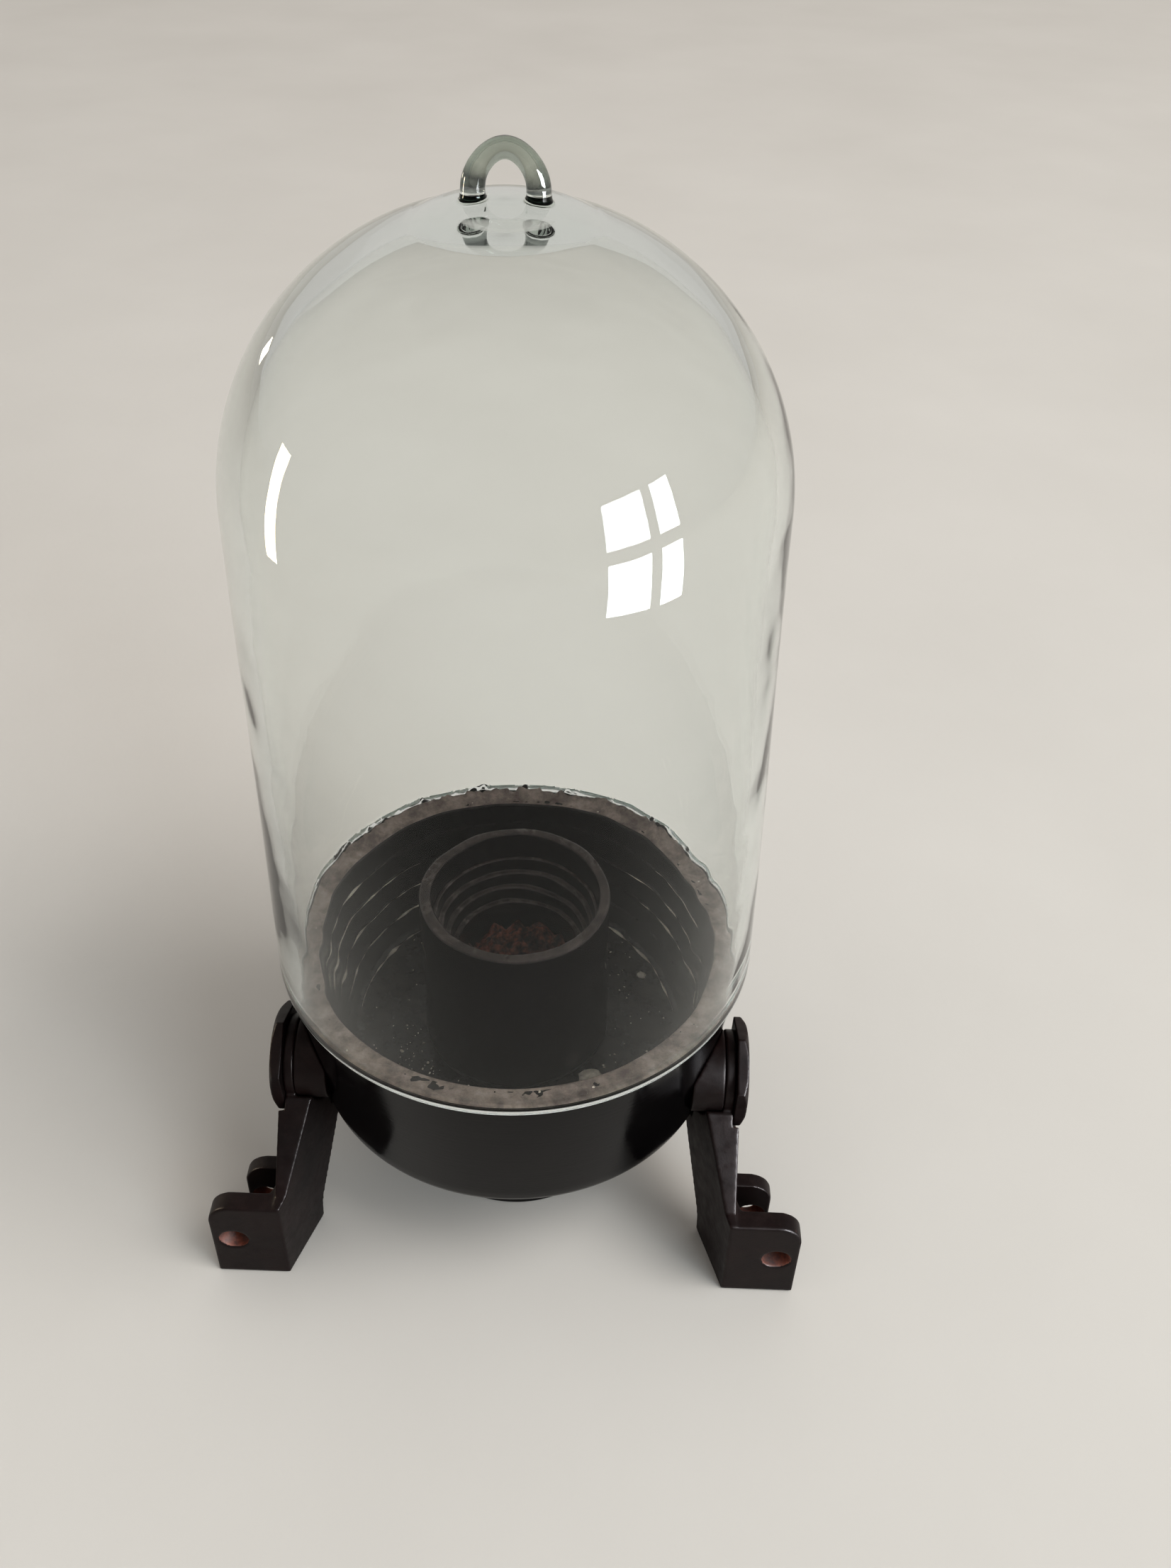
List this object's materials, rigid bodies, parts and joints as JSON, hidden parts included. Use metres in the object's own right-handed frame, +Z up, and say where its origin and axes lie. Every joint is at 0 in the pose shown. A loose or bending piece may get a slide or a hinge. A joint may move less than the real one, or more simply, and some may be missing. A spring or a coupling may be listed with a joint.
{
  "type": "bell jar dome on a lugged dish",
  "caption": "Thick blown-glass bell with a loop handle, standing on a round trough dish with an upright centre tube, carried by two swinging bolted brackets with lugs",
  "frame": {"origin": "on the axis of the dome and dish, at the level of the surface that the pedestal and the bracket feet stand on", "axes": "+Z up along the dome's axis; -Y is the front, the side that the bracket feet reach towards; +X to the right seen from the front, along the pivot bolts"},
  "size_m": [0.1942, 0.1544, 0.348],
  "materials": {
    "clear_glass": "clear, faintly green",
    "black_moulding": "gloss",
    "brown_moulding": "satin",
    "rubber_seal": "matte",
    "brass_insert": "dull",
    "rusty_residue": "rough and crumbly"
  },
  "bodies": {
    "base": {"dish": "black_moulding", "center_tube": "black_moulding", "stepped_sleeve": "black_moulding", "tube_gasket": "rubber_seal", "tube_lock_ring": "black_moulding", "pedestal": "black_moulding", "bore_residue": "rusty_residue", "mounting_boss_left": "brown_moulding", "mounting_boss_right": "brown_moulding", "threaded_insert_left": "brass_insert", "threaded_insert_right": "brass_insert", "hex_pivot_bolt_left": "brown_moulding", "hex_pivot_bolt_right": "brown_moulding"},
    "dome": {"glass_bell": "clear_glass", "glass_handle": "clear_glass"},
    "left_arm": {"bracket_left": "brown_moulding"},
    "right_arm": {"bracket_right": "brown_moulding"}
  },
  "joints": [
    {"name": "dome_lift", "type": "slide", "parent": "base", "child": "dome", "axis": [0, 0, 1], "range_m": [0, 0.06]},
    {"name": "bracket_left_swing", "type": "hinge", "parent": "base", "child": "left_arm", "pos_m": [-0.0716, -0.028, 0.066], "axis": [-1, 0, 0], "range_deg": [0, 75]},
    {"name": "bracket_right_swing", "type": "hinge", "parent": "base", "child": "right_arm", "pos_m": [0.0716, -0.028, 0.066], "axis": [-1, 0, 0], "range_deg": [0, 75]}
  ]
}
